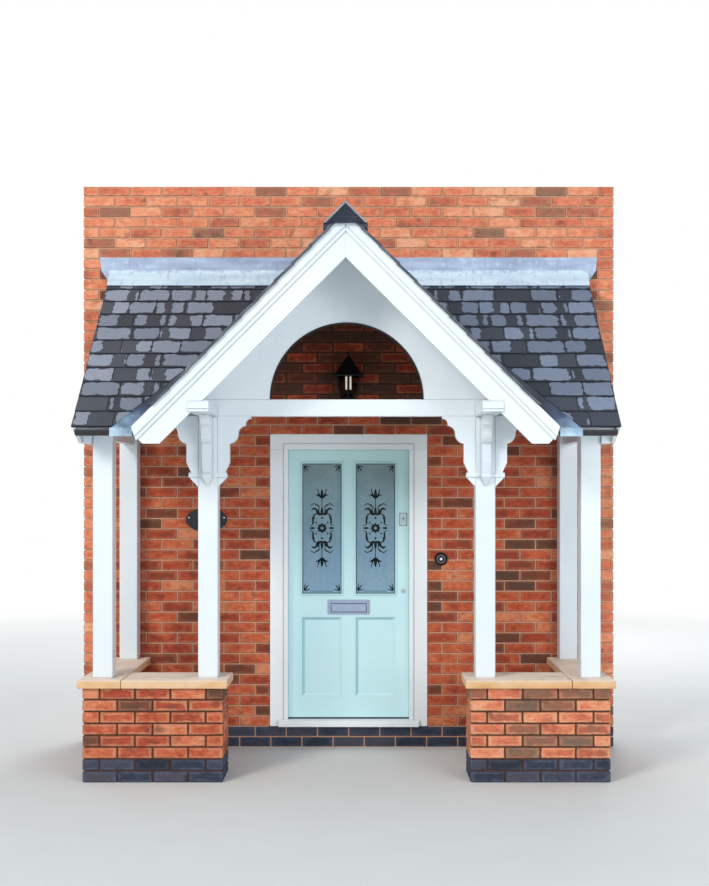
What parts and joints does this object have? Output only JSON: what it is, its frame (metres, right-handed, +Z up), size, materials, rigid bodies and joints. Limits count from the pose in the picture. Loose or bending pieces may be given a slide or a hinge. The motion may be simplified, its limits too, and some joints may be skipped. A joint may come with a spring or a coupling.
{
  "type": "entrance porch",
  "caption": "Open timber entrance porch with crossed gable and lean-to slate roofs on brick dwarf walls, with the wall, doorway and hinged front door behind it.",
  "frame": {"origin": "on the lowest ground, midway between the sides of the doorway, in the plane of the house wall's outer face", "axes": "+X to the right as seen from the street, +Y into the house, +Z up"},
  "size_m": [3.825, 1.872, 4.05],
  "materials": {
    "brick": "rough fired clay with cream mortar",
    "stone": "sawn sandstone, weathered",
    "slate": "riven slate",
    "lead": "dull weathered lead sheet",
    "white_timber": "white gloss paint on timber",
    "door_paint": "satin pale blue-green paint",
    "frosted_glass": "etched",
    "clear_glass": "clear",
    "satin_metal": "satin",
    "black_metal": "black enamel",
    "gutter_plastic": "black plastic",
    "plaque_slate": "polished black slate"
  },
  "bodies": {
    "porch": {"wall_left": "brick", "wall_right": "brick", "wall_over_door": "brick", "wall_under_door": "brick", "dwarf_wall_left": "brick", "dwarf_wall_right": "brick", "coping_left": "stone", "coping_right": "stone", "inner_post_left": "white_timber", "inner_post_right": "white_timber", "outer_post_left": "white_timber", "outer_post_right": "white_timber", "wall_post_left": "white_timber", "wall_post_right": "white_timber", "corbels_left": "white_timber", "corbels_right": "white_timber", "tie_beam": "white_timber", "arch_panel": "white_timber", "front_arms": "white_timber", "barge_board_left": "white_timber", "barge_board_right": "white_timber", "barge_moulding_left": "white_timber", "barge_moulding_right": "white_timber", "eaves_beams": "white_timber", "side_beams": "white_timber", "verge_boards": "white_timber", "eaves_boxes": "white_timber", "gable_deck_left": "white_timber", "gable_deck_right": "white_timber", "lean_to_deck_left": "white_timber", "lean_to_deck_right": "white_timber", "gable_slates_left": "slate", "gable_slates_right": "slate", "lean_to_slates_left": "slate", "lean_to_slates_right": "slate", "ridge_tiles": "slate", "ridge_cap": "slate", "valley_lead_left": "lead", "valley_lead_right": "lead", "flashing": "lead", "gutters": "gutter_plastic", "door_jamb_left": "white_timber", "door_jamb_right": "white_timber", "door_head": "white_timber", "door_threshold": "white_timber", "frame_hinges": "satin_metal", "lantern": "black_metal", "lantern_glass": "clear_glass", "name_plaque": "plaque_slate", "bell_push": "black_metal"},
    "front_door": {"door_leaf": "door_paint", "door_glass": "frosted_glass", "letter_plate": "satin_metal", "door_furniture": "satin_metal", "leaf_hinges": "satin_metal"},
    "letter_flap": {"letter_flap": "satin_metal"}
  },
  "joints": [
    {"name": "door_hinge", "type": "hinge", "parent": "porch", "child": "front_door", "pos_m": [-0.455, 0.107, 1.18], "axis": [0, 0, 1], "range_deg": [0, 90]},
    {"name": "flap_hinge", "type": "hinge", "parent": "front_door", "child": "letter_flap", "pos_m": [0, 0.051, 1.026], "axis": [1, 0, 0], "range_deg": [0, 75], "stiffness_Nm_per_rad": 0.05, "springref_deg": -17.19}
  ]
}
